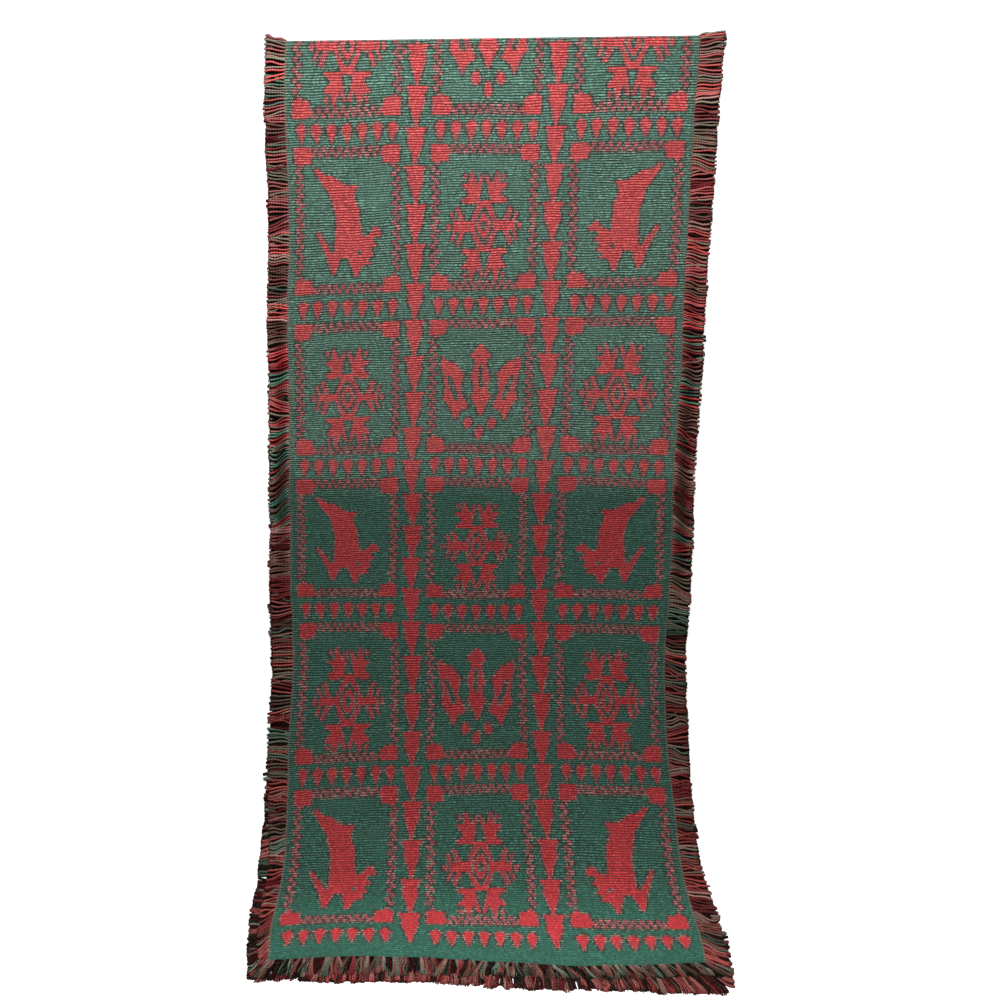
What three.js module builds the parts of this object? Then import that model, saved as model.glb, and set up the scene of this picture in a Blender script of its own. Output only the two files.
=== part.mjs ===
// A cotton tapestry table runner, folded in half and laid flat. The fold lies at +Y and both ends
// at -Y, the upper half on the lower one. It is one sheet that runs back and forth, with a comb of
// fringe along each of its four edges. Millimetres, +Z up, origin under the middle of the whole.

import * as THREE from 'three';
import { mergeVertices } from 'three/addons/utils/BufferGeometryUtils.js';

// The cloth
const HALF_LENGTH = 861;    // from the fold to either end, along the cloth
const THICKNESS = 2.2;
const FOLD_HEIGHT = 6.2;    // between the mid-surfaces of the two halves at the fold
const NESTED_HEIGHT = 2.9;  // the same where the halves lie closest together
const ACROSS_CELLS = 12;

// How the upper half lies, one row for each section down from the fold.
// along: distance on the cloth; down: distance on the surface; left, leftTrees, rightTrees and
// right: where its edges and its two columns of woven trees run; leftLow and rightLow: how far
// each edge lies below the middle of its weft line; lift: mid-surface above the lower half's.
const SECTION_COLUMNS = [
  'along', 'down', 'left', 'leftTrees', 'rightTrees', 'right', 'leftLow', 'rightLow', 'lift'];
const SECTIONS = [
  [  0,    0,  -177,  -61,  64,  187,   2.6,  -2.6,  6.2],
  [ 35,   41,  -177,  -61,  62,  184,   4.0,  -2.8,  5.6],
  [ 72,   84,  -176,  -62,  60,  180,   4.8,  -2.4,  4.4],
  [139,  156,  -173,  -62,  57,  176,   5.1,  -2.1,  4.0],
  [206,  229,  -172,  -62,  55,  171,   6.1,  -2.9,  4.6],
  [273,  297,  -171,  -63,  53,  168,   5.1,  -1.7,  5.0],
  [340,  363,  -169,  -63,  50,  163,   4.4,   2.0,  6.0],
  [394,  414,  -168,  -64,  48,  159,   2.5,   1.3,  6.5],
  [441,  452,  -167,  -64,  46,  158,   0.8,   0.8,  6.0],
  [508,  506,  -167,  -64,  45,  155,  -1.0,   0.0,  4.4],
  [576,  565,  -165,  -63,  45,  151,   0.0,   3.2,  3.4],
  [643,  630,  -166,  -63,  46,  152,   5.5,   2.5,  3.4],
  [710,  691,  -168,  -63,  48,  157,   5.9,   2.9,  4.2],
  [778,  760,  -172,  -63,  53,  165,   3.0,   3.0,  6.4],
  [820,  796,  -179,  -64,  57,  176,   1.0,   2.5,  6.9],
  [861,  831,  -182,  -64,  61,  184,   0.0,  -2.5,  7.2],
].map((row) => Object.fromEntries(row.map((value, i) => [SECTION_COLUMNS[i], value])));
const COLUMNS = 104;                     // the weave's columns, from edge to edge
const LEFT_TREES_AT = 34 / COLUMNS;      // share of the width from the left edge to the trees
const RIGHT_TREES_AT = 70 / COLUMNS;

// The cross crease that stands up near the middle of the upper half
const CREASE = { along: 396, skew: 12, height: 15, above: 130, below: 66, softness: 7 };

// A shallow slanting trough below the crease, from its start to its end
const TROUGH = { x0: -85, down0: 470, x1: 40, down1: 590, depth: 2.2, width: 26 };

// The upper half's end waves a little
const END_WAVE = { reach: 70, down: 3.6, up: 1.1 };

// How far the lower half shows past the upper one near the ends
const UNDER = { from: 610, left: 5, right: 2, down_left: 3, down_right: 12 };

// Fringe
const FRINGE_THICKNESS = 1.6;
const FRINGE_GAP = 0.45;        // between the selvedge and the comb
const END_GAP = 0.5;            // the same at the ends
const COMB_ROOT = 7;            // solid part of each comb, before its teeth part
const TOOTH = 24;               // width of one tuft along the edge
const TIP_SHARE = 0.5;          // part of a tooth that its outer end takes
const SIDE_REACHES = [17, 18.5, 16, 17.5, 19, 16.5, 18];   // lengths of successive tufts
const SIDE_LEANS = [3, -2, 5, 1, -4, 4, 0, -3];   // and how far their tips lean along the edge
const END_REACHES = [17, 15, 18, 16, 15];
const END_LEANS = [-2, 2, 0, 3, -3, 1];
const RIGHT_EXTRA = { at_fold: 4, fades_by: 330 };   // longer tufts at the right of the fold
const UPPER_TIP_HEIGHT = 3.6;   // where the tips of the upper half's tufts come to lie
const CORNER_FAN = { reach: 60, lean: 9, drawn_in: 4 };
const FOLD_FAN = { reach: 40, lean: 7 };

const BEND_RADIUS = FOLD_HEIGHT / 2;
const HALF_BEND = Math.PI * BEND_RADIUS / 2;

const lerp = THREE.MathUtils.lerp;
const smoothstep = THREE.MathUtils.smoothstep;

// One column of SECTIONS at a distance along the cloth, on a smooth curve through its rows
function section(column, along) {
  const last = SECTIONS.length - 2;
  const found = SECTIONS.findIndex((row) => row.along > along) - 1;
  const i = found < 0 ? last : found;
  const [before, start, end, after] = [i - 1, i, i + 1, i + 2].map(
    (k) => SECTIONS[THREE.MathUtils.clamp(k, 0, last + 1)]);
  const run = end.along - start.along;
  const t = (along - start.along) / run;
  const slope = (a, b) => (b[column] - a[column]) / (b.along - a.along);
  const m0 = slope(before, end) * run;
  const m1 = slope(start, after) * run;
  const rise = start[column] - end[column];
  return start[column] + t * (m0 + t * (-3 * rise - 2 * m0 - m1 + t * (2 * rise + m0 + m1)));
}

// Where a place across the cloth lies: u runs from 0 at the left edge to 1 at the right one
function sideways(u, along) {
  const stops = [0, LEFT_TREES_AT, RIGHT_TREES_AT, 1];
  const columns = ['left', 'leftTrees', 'rightTrees', 'right'];
  const k = u < LEFT_TREES_AT ? 0 : u < RIGHT_TREES_AT ? 1 : 2;
  const t = (u - stops[k]) / (stops[k + 1] - stops[k]);
  return lerp(section(columns[k], along), section(columns[k + 1], along), t);
}

// How far a place across the cloth lies below the middle of its weft line
function lowness(u, along) {
  const outward = 2 * u - 1;
  const left = section('leftLow', along);
  const right = section('rightLow', along);
  return (right - left) / 2 * outward + (right + left) / 2 * outward * outward;
}

function creaseHeight(u, along) {
  const off = along - CREASE.along - CREASE.skew * (u - 0.5);
  const reach = off < 0 ? CREASE.above : CREASE.below;
  const soft = Math.hypot(off, CREASE.softness) - CREASE.softness;
  return CREASE.height * Math.exp(-soft / reach);
}

function troughDepth(x, down) {
  const run = new THREE.Vector2(TROUGH.x1 - TROUGH.x0, TROUGH.down1 - TROUGH.down0);
  const from = new THREE.Vector2(x - TROUGH.x0, down - TROUGH.down0);
  const t = from.dot(run) / run.lengthSq();
  const aside = Math.abs(from.cross(run)) / run.length() / TROUGH.width;
  return TROUGH.depth * Math.exp(-aside * aside - 3 * (t - 0.5) ** 2);
}

// The mid-surface of the cloth. s runs along it from the lower end, through 0 at the fold, to the
// upper end. Returns the point and the thickness direction in the YZ plane.
function midSurface(u, s) {
  const along = Math.abs(s);
  const upper = s > 0;
  const outward = 2 * u - 1;
  const low = lowness(u, along);
  if (along <= HALF_BEND) {
    const angle = s / BEND_RADIUS;
    const y = -low - BEND_RADIUS * (1 - Math.cos(angle));
    const z = THICKNESS / 2 + BEND_RADIUS * (1 + Math.sin(angle));
    return { x: sideways(u, along), y, z, ny: Math.cos(angle), nz: Math.sin(angle) };
  }
  const under = upper ? 0 : smoothstep(along, UNDER.from, HALF_LENGTH);
  const wave = upper ? END_WAVE.down * Math.sin(Math.PI * outward) : 0;
  const nearEnd = smoothstep(along, HALF_LENGTH - END_WAVE.reach, HALF_LENGTH);
  const x = sideways(u, along) + under * lerp(-UNDER.left, UNDER.right, u);
  const down = section('down', along) - section('down', HALF_BEND) + BEND_RADIUS + low
    + under * lerp(UNDER.down_left, UNDER.down_right, u) + wave * nearEnd;
  if (!upper) {
    return { x, y: -down, z: THICKNESS / 2, ny: 0, nz: -1 };
  }
  const heightAt = (a) => Math.max(NESTED_HEIGHT,
    section('lift', a) + creaseHeight(u, a) * smoothstep(a, HALF_BEND, 3 * TOOTH)
    - troughDepth(x, down) + END_WAVE.up * nearEnd * (1 + Math.cos(9 * outward)) / 2);
  const step = 2;
  const lower = Math.max(along - step, HALF_BEND);
  const slope = (heightAt(along + step) - heightAt(lower))
    / (section('down', along + step) - section('down', lower));
  const length = Math.hypot(1, slope);
  return { x, y: -down, z: THICKNESS / 2 + heightAt(along), ny: slope / length, nz: 1 / length };
}

// Turns a box of unit size into a body: place(a, b, c) maps each of its points, a, b, c from 0 to 1
function shapedBox(cellsA, cellsB, place) {
  const box = new THREE.BoxGeometry(1, 1, 1, cellsA, cellsB, 1);
  box.deleteAttribute('normal');
  box.deleteAttribute('uv');
  const geometry = mergeVertices(box, 1e-4);
  const points = geometry.attributes.position;
  for (let i = 0; i < points.count; i += 1) {
    const p = place(points.getX(i) + 0.5, points.getY(i) + 0.5, points.getZ(i) + 0.5);
    points.setXYZ(i, p.x, p.y, p.z);
  }
  geometry.computeVertexNormals();
  return geometry;
}

// Distances along the cloth where the sheet gets a row of corners: close together at the fold
// and over the crease, wider where it lies flat
function sheetRows() {
  const rows = [];
  for (let s = -HALF_LENGTH; s < -3 * HALF_BEND; s += 24) {
    rows.push(s);
  }
  for (let k = -6; k <= 6; k += 1) {
    rows.push(HALF_BEND * (Math.abs(k) <= 4 ? k / 4 : Math.sign(k) * (Math.abs(k) - 3)));
  }
  for (let s = 3.6 * HALF_BEND; s < HALF_LENGTH; s += Math.abs(s - CREASE.along) < 60 ? 8 : 20) {
    rows.push(s);
  }
  rows.push(HALF_LENGTH);
  return rows.reverse();
}

const ROWS = sheetRows();

// The mid-surface between the corners of the sheet's own flat faces, which the combs follow
function onFaces(u, s) {
  const k = Math.min(ROWS.findLastIndex((row) => row >= s), ROWS.length - 2);
  const i = Math.min(Math.floor(u * ACROSS_CELLS), ACROSS_CELLS - 1);
  const [u0, u1] = [i / ACROSS_CELLS, (i + 1) / ACROSS_CELLS];
  const mix = (p, q, t) => Object.fromEntries(Object.keys(p).map((key) => [key, lerp(p[key], q[key], t)]));
  const t = (u - u0) / (u1 - u0);
  const above = mix(midSurface(u0, ROWS[k]), midSurface(u1, ROWS[k]), t);
  const below = mix(midSurface(u0, ROWS[k + 1]), midSurface(u1, ROWS[k + 1]), t);
  return mix(above, below, (s - ROWS[k]) / (ROWS[k + 1] - ROWS[k]));
}

function cloth() {
  return shapedBox(ACROSS_CELLS, ROWS.length - 1, (a, b, c) => {
    const mid = midSurface(a, ROWS[Math.round(b * (ROWS.length - 1))]);
    const off = (c - 0.5) * THICKNESS;
    return { x: mid.x, y: mid.y + off * mid.ny, z: mid.z + off * mid.nz };
  });
}

// The stations of a comb: each tooth goes from a valley to the two corners of its tip.
// Returns each station's place along the edge from 0 to 1, and the tooth it belongs to.
function combStations(edgeLength) {
  const teeth = Math.round(edgeLength / TOOTH);
  const stations = [];
  for (let tooth = 0; tooth < teeth; tooth += 1) {
    stations.push({ at: tooth / teeth, tooth, tip: false });
    stations.push({ at: (tooth + 0.5 - TIP_SHARE / 2) / teeth, tooth, tip: true });
    stations.push({ at: (tooth + 0.5 + TIP_SHARE / 2) / teeth, tooth, tip: true });
  }
  stations.push({ at: 1, tooth: teeth - 1, tip: false });
  return stations;
}

const cycle = (list, i) => list[i % list.length];

// The fringe of one side, as one comb that follows both halves and the fold between them
function sideComb(side) {
  const u = side < 0 ? 0 : 1;
  const stations = combStations(2 * HALF_LENGTH);
  return shapedBox(1, stations.length - 1, (a, b, c) => {
    const outer = side < 0 ? 1 - a : a;
    const { at, tooth, tip } = stations[Math.round(b * (stations.length - 1))];
    const s = lerp(HALF_LENGTH, -HALF_LENGTH, at);
    const along = Math.abs(s);
    const edge = onFaces(u, s);
    const fromFold = smoothstep(along, HALF_BEND, FOLD_FAN.reach);
    const extra = side > 0 ? RIGHT_EXTRA.at_fold * (1 - smoothstep(along, 0, RIGHT_EXTRA.fades_by)) : 0;
    const corner = smoothstep(along, HALF_LENGTH - CORNER_FAN.reach, HALF_LENGTH);
    const drawnIn = side < 0 ? CORNER_FAN.drawn_in * corner : 0;
    const reach = tip ? cycle(SIDE_REACHES, tooth) + extra - drawnIn : COMB_ROOT;
    const fan = CORNER_FAN.lean * corner - FOLD_FAN.lean * (1 - fromFold);
    const lean = tip ? cycle(SIDE_LEANS, tooth) * fromFold + fan : 0;
    const lying = s > 0 ? UPPER_TIP_HEIGHT : FRINGE_THICKNESS / 2;
    const settled = s > 0 ? 0.8 * outer * reach / Math.max(...SIDE_REACHES) : 1;
    const z = lerp(edge.z, Math.min(edge.z, lying), fromFold * settled);
    const off = (c - 0.5) * FRINGE_THICKNESS;
    return {
      x: edge.x + side * (FRINGE_GAP + outer * reach),
      y: edge.y - outer * lean + off * edge.ny,
      z: z + off * edge.nz,
    };
  });
}

// The fringe of one end, as a comb along its width
function endComb(upper) {
  const stations = combStations(SECTIONS.at(-1).right - SECTIONS.at(-1).left);
  return shapedBox(stations.length - 1, 1, (a, b, c) => {
    const outer = 1 - b;
    const { at, tooth, tip } = stations[Math.round(a * (stations.length - 1))];
    const edge = onFaces(at, upper ? HALF_LENGTH : -HALF_LENGTH);
    const reach = tip ? cycle(END_REACHES, tooth + (upper ? 0 : 2)) : COMB_ROOT;
    const fan = CORNER_FAN.lean * (2 * at - 1) ** 3;
    const lean = tip ? cycle(END_LEANS, tooth + (upper ? 0 : 3)) * (1 - Math.abs(2 * at - 1)) + fan : 0;
    const drop = outer * reach / Math.max(...END_REACHES);
    const z = upper ? lerp(edge.z, UPPER_TIP_HEIGHT, 0.8 * drop * drop) : FRINGE_THICKNESS / 2;
    return {
      x: edge.x + outer * lean,
      y: edge.y - END_GAP - outer * reach,
      z: z + (c - 0.5) * FRINGE_THICKNESS,
    };
  });
}

const cottonCloth = { color: 0x46705f, roughness: 0.95, metalness: 0 };
const cottonYarn = { color: 0x7a4a42, roughness: 0.95, metalness: 0 };

function piece(name, geometry, finish) {
  const mesh = new THREE.Mesh(geometry, new THREE.MeshStandardMaterial(finish));
  mesh.name = name;
  return mesh;
}

const runner = new THREE.Group();
runner.add(
  piece('runner_cloth', cloth(), cottonCloth),
  piece('fringe_left', sideComb(-1), cottonYarn),
  piece('fringe_right', sideComb(1), cottonYarn),
  piece('fringe_end_upper', endComb(true), cottonYarn),
  piece('fringe_end_lower', endComb(false), cottonYarn),
);

// Stands the whole on z = 0 with its middle over the origin
const around = new THREE.Box3().setFromObject(runner);
const middle = around.getCenter(new THREE.Vector3());
runner.position.set(-middle.x, -middle.y, -around.min.z);

export default runner;
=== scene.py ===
# A cotton tapestry table runner, folded in half and laid flat on a pale surface, with the fold
# at +Y and both fringed ends at -Y. Own millimetre coordinates are turned to metres in put().

import math

import bpy
import numpy as np
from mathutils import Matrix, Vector


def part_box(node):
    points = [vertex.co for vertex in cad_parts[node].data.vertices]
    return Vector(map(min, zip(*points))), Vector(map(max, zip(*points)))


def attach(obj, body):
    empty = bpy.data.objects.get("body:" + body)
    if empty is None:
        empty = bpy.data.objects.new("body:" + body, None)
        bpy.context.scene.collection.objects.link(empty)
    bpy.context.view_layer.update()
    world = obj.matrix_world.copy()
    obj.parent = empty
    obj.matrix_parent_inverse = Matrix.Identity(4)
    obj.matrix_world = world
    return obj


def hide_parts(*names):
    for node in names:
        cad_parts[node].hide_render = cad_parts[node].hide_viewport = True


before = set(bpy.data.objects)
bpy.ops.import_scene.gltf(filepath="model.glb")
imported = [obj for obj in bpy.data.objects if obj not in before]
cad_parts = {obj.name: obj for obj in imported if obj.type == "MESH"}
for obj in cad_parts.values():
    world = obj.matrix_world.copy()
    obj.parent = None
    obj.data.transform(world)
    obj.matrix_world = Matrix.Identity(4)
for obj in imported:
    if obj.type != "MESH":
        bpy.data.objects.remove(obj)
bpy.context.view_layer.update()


# ---------------------------------------------------------------------------------------------
# The cloth: one sheet of double-faced cotton tapestry, 1.72 m long and about 34 cm wide, woven
# in ribs of weft over a hidden warp, green with red figures on its outer face and the other way
# round on its inner one. It is folded once, and nothing holds it but its own weight.
# ---------------------------------------------------------------------------------------------

# How it lies: the lower half flat, the upper half on it over one cross crease near its middle,
# spreading and lifting a little towards its end. Measures are in millimetres.
HALF_LENGTH = 861
FLAT_WIDTH = 342
THICKNESS = 2.2
FOLD_HEIGHT = 6.2                  # from one half's mid-surface to the other's at the fold,
NESTED_HEIGHT = 2.9                # and where they lie closest
COLUMNS = 104                      # columns of the weave, from edge to edge
PICKS = 410                        # ribs of weft in each half
PICK = HALF_LENGTH / PICKS         # 2.1 mm from rib to rib
TREE_LANES = (34, 70)              # columns where the two lanes of woven tall trees run
LEFT_TREES_AT = TREE_LANES[0] / COLUMNS
RIGHT_TREES_AT = TREE_LANES[1] / COLUMNS

# One row for each section down from the fold: distance on the cloth, distance on the surface,
# where the edges and the two lanes of trees run, how far the edges lie below the middle
# of their weft line, and the height of the upper half's mid-surface above the lower half's
SECTION_COLUMNS = (
    "along", "down", "left", "left_trees", "right_trees", "right", "left_low", "right_low", "lift")
SECTIONS = dict(zip(SECTION_COLUMNS, np.array([
    (0, 0, -177, -61, 64, 187, 2.6, -2.6, 6.2),
    (35, 41, -177, -61, 62, 184, 4.0, -2.8, 5.6),
    (72, 84, -176, -62, 60, 180, 4.8, -2.4, 4.4),
    (139, 156, -173, -62, 57, 176, 5.1, -2.1, 4.0),
    (206, 229, -172, -62, 55, 171, 6.1, -2.9, 4.6),
    (273, 297, -171, -63, 53, 168, 5.1, -1.7, 5.0),
    (340, 363, -169, -63, 50, 163, 4.4, 2.0, 6.0),
    (394, 414, -168, -64, 48, 159, 2.5, 1.3, 6.5),
    (441, 452, -167, -64, 46, 158, 0.8, 0.8, 6.0),
    (508, 506, -167, -64, 45, 155, -1.0, 0.0, 4.4),
    (576, 565, -165, -63, 45, 151, 0.0, 3.2, 3.4),
    (643, 630, -166, -63, 46, 152, 5.5, 2.5, 3.4),
    (710, 691, -168, -63, 48, 157, 5.9, 2.9, 4.2),
    (778, 760, -172, -63, 53, 165, 3.0, 3.0, 6.4),
    (820, 798, -179, -64, 57, 176, 1.0, 3.5, 6.9),
    (861, 832, -182, -64, 61, 184, -1.0, 1.0, 7.2),
], float).T))

# The cross crease: where it lies on the cloth, how much further at the right edge than at the
# left, its height, how far it runs out above and below, and how round its top is
CREASE = dict(along=396, skew=12, height=15, above=130, below=66, softness=7)
# A slanting hollow below it, from one place on the surface to another
TROUGH = dict(start=(-85, 470), end=(40, 590), depth=2.2, width=26)
# The upper half's end edge waves: from how far off, by how much along the surface and up, and
# how closely
END_WAVE = dict(reach=70, down=3.6, up=1.1, turns=9)
# The lower half shows past the upper one, from this distance on: by how much at each side, and
# how much lower its end lies at each corner
UNDER = dict(start=610, left=5, right=2, down_left=3, down_right=8)
CREASE_FADES = 72                  # the crease dies out from here towards the fold,
RIPPLES_FADE = 60                  # and the ripples from here

BEND_RADIUS = FOLD_HEIGHT / 2
HALF_BEND = math.pi * BEND_RADIUS / 2


def section(column, along):
    """One column of SECTIONS at distances along the cloth, on a smooth curve through its rows."""
    at = SECTIONS["along"]
    value = SECTIONS[column]
    last = len(at) - 1
    start = np.clip(np.searchsorted(at, along, side="right") - 1, 0, last - 1)
    end = start + 1
    before = np.clip(start - 1, 0, last)
    after = np.clip(end + 1, 0, last)
    run = at[end] - at[start]
    t = (along - at[start]) / run
    slope_in = (value[end] - value[before]) / (at[end] - at[before]) * run
    slope_out = (value[after] - value[start]) / (at[after] - at[start]) * run
    rise = value[start] - value[end]
    return value[start] + t * (
        slope_in + t * (-3 * rise - 2 * slope_in - slope_out + t * (2 * rise + slope_in + slope_out)))


def smoothstep(x, low, high):
    """0 where x is at low or before it, 1 from high on, and smooth between; high may be less."""
    t = np.clip((x - low) / (high - low), 0, 1)
    return t * t * (3 - 2 * t)


def sideways(u, along):
    """Where a place across the cloth lies: u runs from 0 at the left edge to 1 at the right."""
    left, left_trees, right_trees, right = (
        section(name, along) for name in ("left", "left_trees", "right_trees", "right"))
    between = (u - LEFT_TREES_AT) / (RIGHT_TREES_AT - LEFT_TREES_AT)
    return np.where(
        u < LEFT_TREES_AT, left + (left_trees - left) * u / LEFT_TREES_AT,
        np.where(
            u < RIGHT_TREES_AT, left_trees + (right_trees - left_trees) * between,
            right_trees + (right - right_trees) * (u - RIGHT_TREES_AT) / (1 - RIGHT_TREES_AT)))


def lowness(u, along):
    """How far a place lies below the middle of its weft line."""
    outward = 2 * u - 1
    left = section("left_low", along)
    right = section("right_low", along)
    return (right - left) / 2 * outward + (right + left) / 2 * outward ** 2


def lift(u, along, x, down):
    """Height of the upper half's mid-surface above the lower half's."""
    off = along - CREASE["along"] - CREASE["skew"] * (u - 0.5)
    reach = np.where(off < 0, CREASE["above"], CREASE["below"])
    soft = np.hypot(off, CREASE["softness"]) - CREASE["softness"]
    crease = CREASE["height"] * np.exp(-soft / reach) * smoothstep(along, HALF_BEND, CREASE_FADES)
    start, end = np.array(TROUGH["start"]), np.array(TROUGH["end"])
    run = end - start
    length = np.hypot(*run)
    share = ((x - start[0]) * run[0] + (down - start[1]) * run[1]) / length ** 2
    aside = ((x - start[0]) * run[1] - (down - start[1]) * run[0]) / length / TROUGH["width"]
    trough = TROUGH["depth"] * np.exp(-aside ** 2 - 3 * (share - 0.5) ** 2)
    near_end = smoothstep(along, HALF_LENGTH - END_WAVE["reach"], HALF_LENGTH)
    wave = END_WAVE["up"] * near_end * (1 + np.cos(END_WAVE["turns"] * (2 * u - 1))) / 2
    return np.maximum(NESTED_HEIGHT, section("lift", along) + crease - trough + wave)


RIPPLE_SEED = 11
RIPPLE_WAVES = 26
RIPPLE_HEIGHT = 0.42    # the small unevenness of handled cloth, up and down
RIPPLE_SHIFT = 0.4      # and along its own surface


def ripple_waves(seed, shortest, longest):
    """Some sine waves of seeded direction, length and start, as rows of kx, ky, phase, size."""
    rng = np.random.default_rng(seed)
    length = np.exp(rng.uniform(math.log(shortest), math.log(longest), RIPPLE_WAVES))
    turn = rng.uniform(0, math.pi, RIPPLE_WAVES)
    size = (length / longest) ** 0.6
    size /= math.sqrt((size ** 2).sum() / 2)
    return np.stack([
        2 * math.pi / length * np.cos(turn), 2 * math.pi / length * np.sin(turn),
        rng.uniform(0, 2 * math.pi, RIPPLE_WAVES), size], 1)


RIPPLES = {
    "up": ripple_waves(RIPPLE_SEED, 14, 110),
    "across": ripple_waves(RIPPLE_SEED + 1, 30, 170),
    "down": ripple_waves(RIPPLE_SEED + 2, 30, 170),
}


def ripple(kind, x, along):
    """How far one of the ripples moves a place on the flat cloth, about as large as 1."""
    total = np.zeros(np.broadcast(x, along).shape)
    for kx, ky, phase, size in RIPPLES[kind]:
        total += size * np.sin(kx * x + ky * along + phase)
    return total


SLOPE_STEP = 2.0        # the upper half's slope is taken over this much to either side


def lie(u, s, off=0.0):
    """Own position of a place on the cloth. s runs along the cloth from the lower end, through 0
    at the fold, to the upper end, and off is how far the place lies outside the mid-surface."""
    u, s, off = np.broadcast_arrays(*(np.asarray(value, float) for value in (u, s, off)))
    along = np.abs(s)
    upper = s > 0
    outward = 2 * u - 1
    low = lowness(u, along)
    under = np.where(upper, 0, smoothstep(along, UNDER["start"], HALF_LENGTH))
    near_end = smoothstep(along, HALF_LENGTH - END_WAVE["reach"], HALF_LENGTH)
    wave = np.where(upper, END_WAVE["down"] * np.sin(math.pi * outward) * near_end, 0)
    in_bend = along <= HALF_BEND

    def down_at(a):
        return section("down", a) - section("down", HALF_BEND) + BEND_RADIUS

    x = sideways(u, along) + under * (-UNDER["left"] + (UNDER["left"] + UNDER["right"]) * u)
    down = down_at(along) + low + wave + under * (
        UNDER["down_left"] + (UNDER["down_right"] - UNDER["down_left"]) * u)
    height = lift(u, along, x, down)
    after = along + SLOPE_STEP
    before = np.maximum(along - SLOPE_STEP, HALF_BEND)
    rise = lift(u, after, x, down + SLOPE_STEP) - lift(u, before, x, down - (along - before))
    slope = np.where(upper, rise / (down_at(after) - down_at(before)), 0)
    length = np.hypot(1, slope)
    normal_y = np.where(upper, slope / length, 0)
    normal_z = np.where(upper, 1 / length, -1)
    y = -down
    z = np.where(upper, THICKNESS / 2 + height, THICKNESS / 2)

    angle = s / BEND_RADIUS
    y = np.where(in_bend, -low - BEND_RADIUS * (1 - np.cos(angle)), y)
    z = np.where(in_bend, THICKNESS / 2 + BEND_RADIUS * (1 + np.sin(angle)), z)
    normal_y = np.where(in_bend, np.cos(angle), normal_y)
    normal_z = np.where(in_bend, np.sin(angle), normal_z)

    free = smoothstep(along, HALF_BEND, RIPPLES_FADE)
    flat_x = (u - 0.5) * FLAT_WIDTH
    shift = RIPPLE_SHIFT * free
    x = x + shift * ripple("across", flat_x, s)
    y = y + shift * ripple("down", flat_x, s)
    z = z + np.where(upper, RIPPLE_HEIGHT * free * ripple("up", flat_x, s), 0)
    return np.stack([x, y + off * normal_y, z + off * normal_z], -1)


# Own coordinates to the frame's: the fold's outer face and the cloth's left corner are known
# in both
cloth_low, cloth_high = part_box("runner_cloth")
OWN_LEFT = SECTIONS["left"][-1] - UNDER["left"]
OWN_TOP = THICKNESS / 2 - SECTIONS["right_low"][0]
SHIFT = np.array([cloth_low.x * 1000 - OWN_LEFT, cloth_high.y * 1000 - OWN_TOP, 0.0])


def put(points):
    """Own millimetres to the frame's metres."""
    return (points + SHIFT) / 1000


# Its woven pattern, in columns across and picks (ribs of weft) down from the fold. Three blocks
# side by side, each framed by seeded bands with solid corners, repeat down the cloth with rows
# of little trees between them, and two lanes of tall trees run between the blocks.
FINE = 20                       # places looked at in each column
BLOCKS = (2, 38, 74)            # where each block starts
BLOCK_WIDTH = 28
BLOCK_STEP = 72.5               # picks from block to block
LAST_ROW = 5

# The frame: picks from a block's middle to its outside and along its bands, and columns
# taken by a corner and by a side band
FRAME = 30
BAND = 4
SIDE_BAND_HALF = 22
CORNER_WIDTH = 5
SIDE_BAND_WIDTH = 2.2
DASH_ROW = 2                    # picks, or columns, from one dash to the next

DASH = [(-.6, 0), (.5, 0), (.6, 1.8), (-.5, 1.8)]
CORNER = [
    (0, 0), (4.5, 0), (4.7, .8), (5.8, 2.2), (4.7, 3.8), (4.5, 6.4), (2.6, 6.8), (1.6, 8.6),
    (.8, 6.8), (0, 6.8)]
LITTLE_TREE = [
    (-.4, 32.2), (.4, 32.2), (.6, 33.3), (1.5, 33.6), (1.35, 35.2), (.95, 37.2), (.5, 39),
    (.15, 40.6), (-.15, 40.6), (-.5, 39), (-.95, 37.2), (-1.35, 35.2), (-1.5, 33.6), (-.6, 33.3)]
LITTLE_TREES = dict(count=7, first=2.3, step=3.95)      # columns from the block's left side
TALL_TREE = [
    (0, 0), (.5, 0), (.5, .9), (2.95, .9), (2.6, 2), (1.9, 4.6), (2.2, 6.6), (1.85, 8.8),
    (1.2, 11.6), (.7, 14.6), (.5, 15.9), (0, 15.9)]
TALL_TREE_STEP = 16
TALL_TREE_FIRST = 2

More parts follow.
